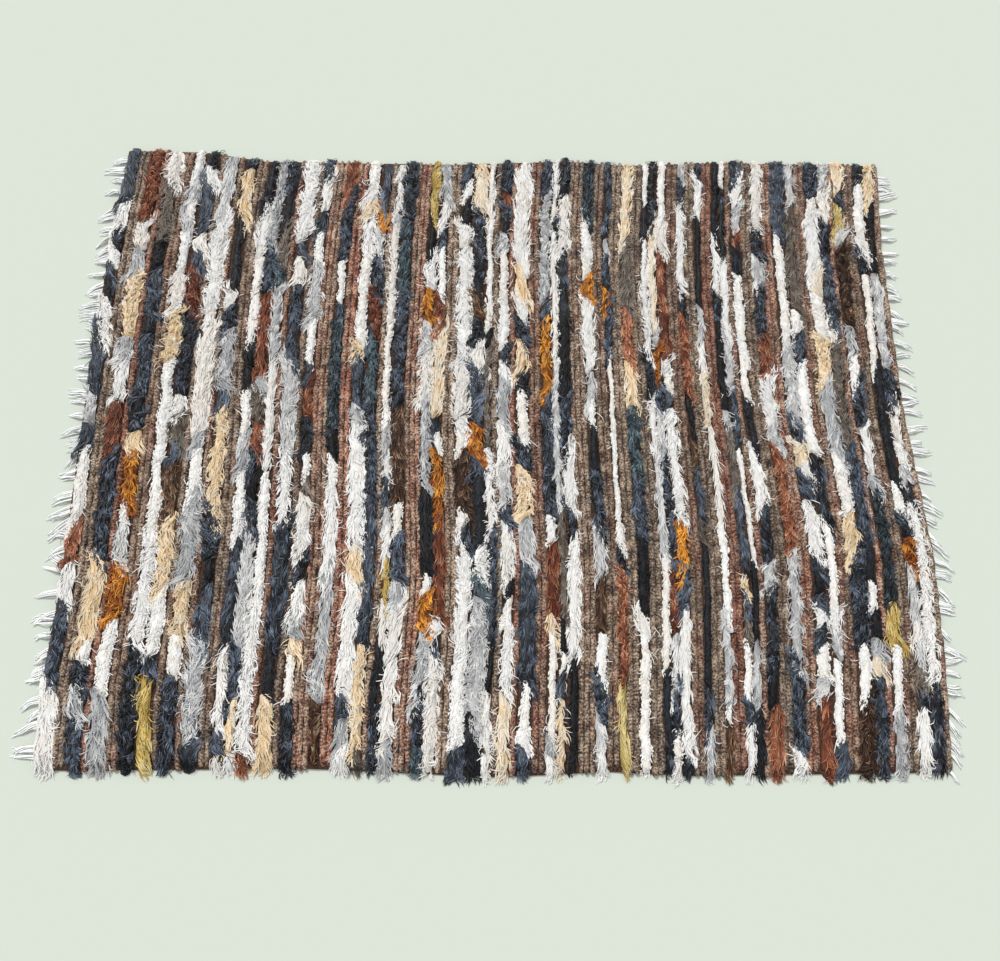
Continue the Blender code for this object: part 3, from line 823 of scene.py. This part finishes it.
def warp_fringe(rng, side, materials):
    """One side's cotton: 47 bunches of 8 threads that leave the heading, arch a little and lie down.

    In plan a thread runs out at its bunch's lean, drawn to its bunch's line by t, bent by t^2 to one side and
    wavy by a sine; the lean grows towards the near corner, more on the right side. Its height falls from the
    heading as (1 - 3t)^2, then rises and falls as sin(pi t)^2. The heading is a cord that swells as |sin| at
    each bunch.
    """
    piece = Bundle("fringe_threads_" + ("left" if side < 0 else "right"))
    reach = WEAVE_WIDTH / 2 - FRINGE_CORNER
    bunches, count = (WARP_ENDS, 1), (WARP_ENDS, THREADS)
    root = np.linspace(-reach, reach, WARP_ENDS)[:, None] + rng.normal(0, ROOT_STRAY[0], bunches)
    lean = FRINGE_LEAN[0] - (FRINGE_LEAN[1] + FRINGE_LEAN[2] * side) * ramp(-root, *LEAN_FROM)
    lean = lean + LEAN_WAVE[0] * np.sin(LEAN_WAVE[1] * root + side) + rng.normal(0, LEAN_STRAY[0], bunches)
    spread = np.linspace(-BUNCH_HALF, BUNCH_HALF, THREADS) * MM * rng.uniform(*BUNCH_WIDTHS, bunches)
    spread = spread + rng.normal(0, ROOT_STRAY[1], count)
    lean = lean + rng.normal(0, LEAN_STRAY[1], count)
    long = rng.uniform(*FRINGE_LENGTH, bunches) * rng.uniform(*THREAD_LENGTH, count)
    bend = rng.normal(*THREAD_BEND[:2], bunches) + rng.normal(0, THREAD_BEND[2], count)

    t = np.linspace(0, 1, THREAD_RINGS)
    lean, long, bend, spread, root_y = (value[..., None] for value in (lean, long, bend, spread, root))
    out = -ROOT_IN + (long + ROOT_IN) * np.cos(lean) * t
    y = root_y + long * np.sin(lean) * t + bend * t ** 2
    y = y + spread * (1 + rng.uniform(*BUNCH_OPENING, (WARP_ENDS, 1, 1)) * t)
    phase = rng.uniform(0, 2 * np.pi, (WARP_ENDS, 1, 1)) + rng.normal(0, 0.4, count)[..., None]
    y = y + rng.uniform(*THREAD_WAVE, (WARP_ENDS, 1, 1)) * MM * t * np.sin(THREAD_TURN * t + phase)
    x = weave_x((side + 1) / 2, root)[..., None] + side * out
    z = THREAD_RADIUS + THREAD_DROP * np.clip(1 - 3 * t, 0, 1) ** 2
    z = z + rng.uniform(*THREAD_ARCH, count)[..., None] * np.sin(np.pi * t) ** 2
    path = np.stack([x, y, z], axis=-1).reshape(-1, THREAD_RINGS, 3)
    radius = np.broadcast_to(THREAD_RADIUS * (1 - THREAD_TAPER * t ** 2), path.shape[:2])
    rings = sections(path, side_of(path), radius, radius * 0.95, THREAD_ANGLES)
    rings[..., 2] = np.maximum(rings[..., 2], 0)
    piece.add_tubes(rings, t[None], rng.uniform(0, 1, (len(path), 1)))

    y = np.linspace(-reach - HEADING_PAST, reach + HEADING_PAST, HEADING_ROWS)
    knots = 1 + KNOTS * np.abs(np.sin(np.pi * (y + reach) / (2 * reach) * (WARP_ENDS - 1)))
    x = weave_x((side + 1) / 2, y) - side * HEADING_IN
    centre = np.stack([x, y, np.full(HEADING_ROWS, HEADING_RADIUS)], axis=-1)
    size = HEADING_RADIUS * knots / (1 + KNOTS)
    # The heading takes along 0, the cotton's grey: painted shade under the rug's edge.
    piece.add_tubes(sections(centre, side_of(centre), size, size, HEADING_ANGLES)[None], 0.0, 0.0)
    return piece.finish(materials)


# Materials. Scales are in waves or in radians per metre.

STREAKS = ((620.0, 45.0), (1700.0, 110.0))  # across and along the hair: 1.6 mm wide, and 0.6 mm for the bump
HAIR_BUMP = 0.6 * MM
# Places of a lock's colour stops: the darker skin end is painted shade, a brighter middle a painted
# highlight.
SKIN_TO_TIP = (0.0, 0.5, 1.0)
# Painted highlight on curls: by its tone a glossy lock moves between its two shades.
CURL_LIGHT = (-0.30, 0.62)  # how far the darkest and the brightest lock of a glossy wool move in shade
PILE_FLECKS = 260.0  # tufts of cut yarn, 4 mm wide
PILE_PATCHES = 55.0  # 18 mm
PILE_BUMP = 5 * MM
PILE_LEVELS = (0.52, 0.66, 0.80, 0.96)
STITCHES = 785.0  # radians: a V for each 8 mm
STITCH_SLANT = 2.4  # radians from a cord's middle to its side
STITCH_STRAY = 15.0  # radians, by the patches
# The first column darkens a cord towards its sides: painted shade between the cords.
PILE_SHARES = (-0.07, 0.62, 0.048)  # of the distance from the middle, the patches and the stitches
TWIST = 105.0  # a band for each 3 mm
TWIST_BUMP = 0.8 * MM


def node(tree, kind, links=None, stops=(), **settings):
    """Adds a node with its settings.

    links gives what its inputs are set to or linked from, and stops a colour ramp's (place, hex colour).
    """
    made = tree.nodes.new(kind)
    for name, value in settings.items():
        setattr(made, name, value)
    for name, value in (links or {}).items():
        socket = made.inputs[name]
        if isinstance(value, bpy.types.NodeSocket):
            tree.links.new(value, socket)
        else:
            socket.default_value = value
    for _ in range(len(stops) - 2):
        made.color_ramp.elements.new(0.5)
    for k, (place, code) in enumerate(stops):
        element = made.color_ramp.elements[k]
        element.position, element.color = place, hex_linear(code)
    return made


def new_material(name, **values):
    """A material with its shader's own sockets set."""
    material = bpy.data.materials.new(name)
    material.use_nodes = True
    tree = material.node_tree
    shader = tree.nodes["Principled BSDF"]
    for socket, value in values.items():
        shader.inputs[socket.replace("_", " ")].default_value = value
    return material, tree, shader


def dress(tree, shader, colour, value, height, strength, distance):
    """Gives a shader a colour, lightened or darkened by a value, and a bump from a height."""
    toned = node(tree, "ShaderNodeHueSaturation", {"Value": value, "Color": colour})
    bump = node(tree, "ShaderNodeBump", {"Height": height, "Strength": strength, "Distance": distance})
    tree.links.new(toned.outputs["Color"], shader.inputs["Base Color"])
    tree.links.new(bump.outputs["Normal"], shader.inputs["Normal"])


def wool(name, first, second, gloss, contrast):
    """Dyed sheep's wool in locks: painted shade at the skin, a silky sheen on the smoother wools.

    Each lock's tone lightens or darkens it, and on glossy wool brightens it more and moves it towards the
    second shade or back: a painted highlight that stands in for light on curls. Streaks run along it as
    bundles of hair. Hair is 0.05 mm thick, too fine for a view of the whole rug, so the streaks are drawn 1.6
    mm wide and their bump 0.6 mm.
    """
    material, tree, shader = new_material(
        "sheep_wool_" + name, Roughness=0.62 - 0.22 * gloss, Specular_IOR_Level=0.1 + 0.15 * gloss,
        Sheen_Weight=0.08 * (1 - gloss), Sheen_Roughness=0.4
    )
    along, tone, shade = (
        node(tree, "ShaderNodeAttribute", attribute_name=kind).outputs["Fac"] for kind in POINT_NUMBERS
    )
    shades = [
        node(tree, "ShaderNodeValToRGB", {"Fac": along}, tuple(zip(SKIN_TO_TIP, codes))).outputs["Color"]
        for codes in (first, second)
    ]
    place = node(tree, "ShaderNodeAttribute", attribute_name="fibre").outputs["Vector"]
    streaks = []
    for scales in STREAKS:
        stretched = node(tree, "ShaderNodeMapping", {"Vector": place, "Scale": (*scales, 1.0)}).outputs[0]
        streak = node(tree, "ShaderNodeTexNoise", {"Vector": stretched, "Scale": 1.0, "Detail": 2.0})
        streaks.append(streak.outputs["Fac"])
    # Glossy locks brighten further with their tone: a painted highlight.
    brightest = 1 + contrast * (1 + 1.4 * gloss)
    lock = node(tree, "ShaderNodeMapRange", {"Value": tone, "To Min": 1 - contrast, "To Max": brightest})
    hair = node(tree, "ShaderNodeMapRange", {
        "Value": streaks[0], "From Min": 0.3, "From Max": 0.7,
        "To Min": 1 - 0.9 * contrast, "To Max": 1 + 0.6 * contrast
    })
    value = node(tree, "ShaderNodeMath", {0: lock.outputs[0], 1: hair.outputs[0]}, operation="MULTIPLY")
    # Painted curl highlight: by its tone a glossy lock moves towards the second shade or back.
    low, high = (move * gloss for move in CURL_LIGHT)
    painted_curl_highlight = node(tree, "ShaderNodeMapRange", {"Value": tone, "To Min": low, "To Max": high}).outputs[0]
    shade_and_curl_highlight = node(tree, "ShaderNodeMath", {0: shade, 1: painted_curl_highlight}, operation="ADD", use_clamp=True).outputs[0]
    colour = node(tree, "ShaderNodeMix", {0: shade_and_curl_highlight, 6: shades[0], 7: shades[1]}, data_type="RGBA").outputs[2]
    dress(tree, shader, colour, value.outputs[0], streaks[1], 0.5, HAIR_BUMP)
    return material


def chenille():
    """Brown chenille yarn: a cut velvety pile, matt, flecked with tan, in stitches that lie as a row of Vs.

    The Vs are a sine of the place along the cord plus the distance from its middle and a noise. They are
    drawn 8 mm long, half as large again as the yarn's own, which a view of the whole rug would lose. The
    pile is darker towards a cord's sides, painted shade between the cords, and darker where it is low,
    partly painted shade in its hollows.
    """
    material, tree, shader = new_material(
        "brown_chenille_yarn", Roughness=0.95, Specular_IOR_Level=0.1, Sheen_Weight=0.12, Sheen_Roughness=0.6
    )
    place = node(tree, "ShaderNodeTexCoord").outputs["Object"]
    flecks, patches = (
        node(tree, "ShaderNodeTexNoise", {"Vector": place, "Scale": scale, "Detail": 2.0}).outputs["Fac"]
        for scale in (PILE_FLECKS, PILE_PATCHES)
    )
    cord = node(tree, "ShaderNodeAttribute", attribute_name="fibre").outputs["Vector"]
    across, along, phase = node(tree, "ShaderNodeSeparateXYZ", {"Vector": cord}).outputs
    middle = node(tree, "ShaderNodeMath", {0: across}, operation="ABSOLUTE").outputs[0]
    for value, factor in ((along, STITCHES), (middle, STITCH_SLANT), (patches, STITCH_STRAY)):
        terms = {0: value, 1: factor, 2: phase}
        phase = node(tree, "ShaderNodeMath", terms, operation="MULTIPLY_ADD").outputs[0]
    stitch = node(tree, "ShaderNodeMath", {0: phase}, operation="SINE").outputs[0]
    level = flecks
    # Darker towards a cord's sides, painted shade between cords; low pile is darker, partly painted shade.
    for value, factor in zip((middle, patches, stitch), PILE_SHARES):
        terms = {0: value, 1: factor, 2: level}
        level = node(tree, "ShaderNodeMath", terms, operation="MULTIPLY_ADD").outputs[0]
    browns = [
        node(tree, "ShaderNodeValToRGB", {"Fac": level}, tuple(zip(PILE_LEVELS, codes))).outputs["Color"]
        for codes in CHENILLE_DYES
    ]
    tone, shade = (
        node(tree, "ShaderNodeAttribute", attribute_name=kind).outputs["Fac"] for kind in POINT_NUMBERS[1:]
    )
    value = node(tree, "ShaderNodeMapRange", {"Value": shade, "To Min": 0.58, "To Max": 1.14}).outputs[0]
    colour = node(tree, "ShaderNodeMix", {0: tone, 6: browns[0], 7: browns[1]}, data_type="RGBA").outputs[2]
    dress(tree, shader, colour, value, level, 1.0, PILE_BUMP)
    return material


def ground_weave():
    """The cloth under the pile: dark brown yarn on the face, darker than the cords, partly its own colour and
    partly painted shade in the gaps between cords and strips, and bare suede on the back of the fur strips,
    both matt.
    """
    material, tree, shader = new_material("wool_and_suede_ground", Roughness=0.95, Specular_IOR_Level=0.1)
    place = node(tree, "ShaderNodeTexCoord").outputs["Object"]
    grain = {"Vector": place, "Scale": PILE_FLECKS, "Detail": 3.0}
    flecks = node(tree, "ShaderNodeTexNoise", grain).outputs["Fac"]
    # The yarn's dark browns are partly painted shade in the gaps between cords and strips.
    yarn, suede = (
        node(tree, "ShaderNodeValToRGB", {"Fac": flecks}, tuple(zip((0.3, 0.7), codes))).outputs["Color"]
        for codes in (("#241813", "#5c473b"), ("#8d8276", "#bdb3a6"))
    )
    fur = node(tree, "ShaderNodeAttribute", attribute_name="along").outputs["Fac"]
    colour = node(tree, "ShaderNodeMix", {0: fur, 6: yarn, 7: suede}, data_type="RGBA").outputs[2]
    tree.links.new(colour, shader.inputs["Base Color"])
    return material


def cotton():
    """Cotton warp, two-ply: off-white, matt, with a twist every 3 mm, and greyer in the heading and at the
    threads' roots, which is painted shade under the rug's edge.
    """
    material, tree, shader = new_material("twisted_cotton_warp", Roughness=0.85, Specular_IOR_Level=0.2)
    along, tone = (
        node(tree, "ShaderNodeAttribute", attribute_name=kind).outputs["Fac"] for kind in POINT_NUMBERS[:2]
    )
    # The grey at along 0, in the heading and at the threads' roots under the rug's edge, is painted shade.
    stops = ((0.0, "#a79f93"), (0.15, "#f0f1f1"), (1.0, "#f6f8fa"))
    colour = node(tree, "ShaderNodeValToRGB", {"Fac": along}, stops).outputs["Color"]
    value = node(tree, "ShaderNodeMapRange", {"Value": tone, "To Min": 0.94, "To Max": 1.08}).outputs[0]
    place = node(tree, "ShaderNodeTexCoord").outputs["Object"]
    waves = {"Vector": place, "Scale": TWIST, "Distortion": 1.0}
    twist = node(tree, "ShaderNodeTexWave", waves, bands_direction="DIAGONAL").outputs["Fac"]
    dress(tree, shader, colour, value, twist, 0.6, TWIST_BUMP)
    return material


# The studio.

FLOOR_SIZE = 30.0
FLOOR_DROP = 0.5 * MM  # below the rug's underside
FLOOR_COLOUR = "#c7cec5"
BACKDROP_COLOUR = "#dfe7dc"  # the floor's, as lit
SKY_COLOUR, SKY_STRENGTH = "#f6f6f4", 0.76
KEY_PLACE, KEY_STRENGTH = (-1.4, 2.2, 3.0), 2.45
KEY_COLOUR, KEY_WIDTH = (1.0, 0.985, 0.965), 15.0  # degrees


def make_floor():
    """A plain pale floor under the rug."""
    bpy.ops.mesh.primitive_plane_add(size=FLOOR_SIZE, location=(0.0, 0.0, -FLOOR_DROP))
    floor = bpy.context.object
    floor.name = "floor"
    material, _, shader = new_material("floor_paint", Roughness=0.9, Specular_IOR_Level=0.0)
    shader.inputs["Base Color"].default_value = hex_linear(FLOOR_COLOUR)
    floor.data.materials.append(material)


def make_lights():
    """A bright even sky and a large soft light from the far left, even over the whole floor.

    Straight from the camera the sky has the lit floor's colour, so a low view has no horizon.
    """
    world = bpy.data.worlds.new("sky")
    bpy.context.scene.world = world
    world.use_nodes = True
    tree = world.node_tree
    background = tree.nodes["Background"]
    background.inputs["Color"].default_value = hex_linear(SKY_COLOUR)
    background.inputs["Strength"].default_value = SKY_STRENGTH
    seen = node(tree, "ShaderNodeBackground", {"Color": hex_linear(BACKDROP_COLOUR)})
    direct = node(tree, "ShaderNodeLightPath").outputs["Is Camera Ray"]
    sky = node(tree, "ShaderNodeMixShader", {0: direct, 1: background.outputs[0], 2: seen.outputs[0]})
    tree.links.new(sky.outputs[0], tree.nodes["World Output"].inputs["Surface"])
    data = bpy.data.lights.new("key", "SUN")
    data.energy = KEY_STRENGTH
    data.color = KEY_COLOUR
    data.angle = np.radians(KEY_WIDTH)
    light = bpy.data.objects.new("key", data)
    bpy.context.scene.collection.objects.link(light)
    light.location = KEY_PLACE
    light.rotation_euler = light.location.to_track_quat("Z", "Y").to_euler()


def main():
    make_camera()
    make_floor()
    make_lights()
    bpy.context.scene.view_settings.view_transform = "Standard"

    rng = np.random.default_rng(SEED)
    wools = [wool(name, row[:3], row[3:6], *FINISHES[name][:2]) for name, row in DYES.items()]
    brown, white_cotton = chenille(), cotton()
    ground = ground_cloth([ground_weave()])
    cords = chenille_cords(rng, [brown])
    lengths = strip_lengths(rng)
    cores = fur_cores(rng, lengths, wools)
    locks = fur_locks(rng, lengths, wools)
    fringes = [warp_fringe(rng, side, [white_cotton]) for side in (-1, 1)]

    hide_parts("woven_rug")
    for piece, node_name in zip(fringes, ("fringe_left", "fringe_right")):
        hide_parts(node_name)


main()
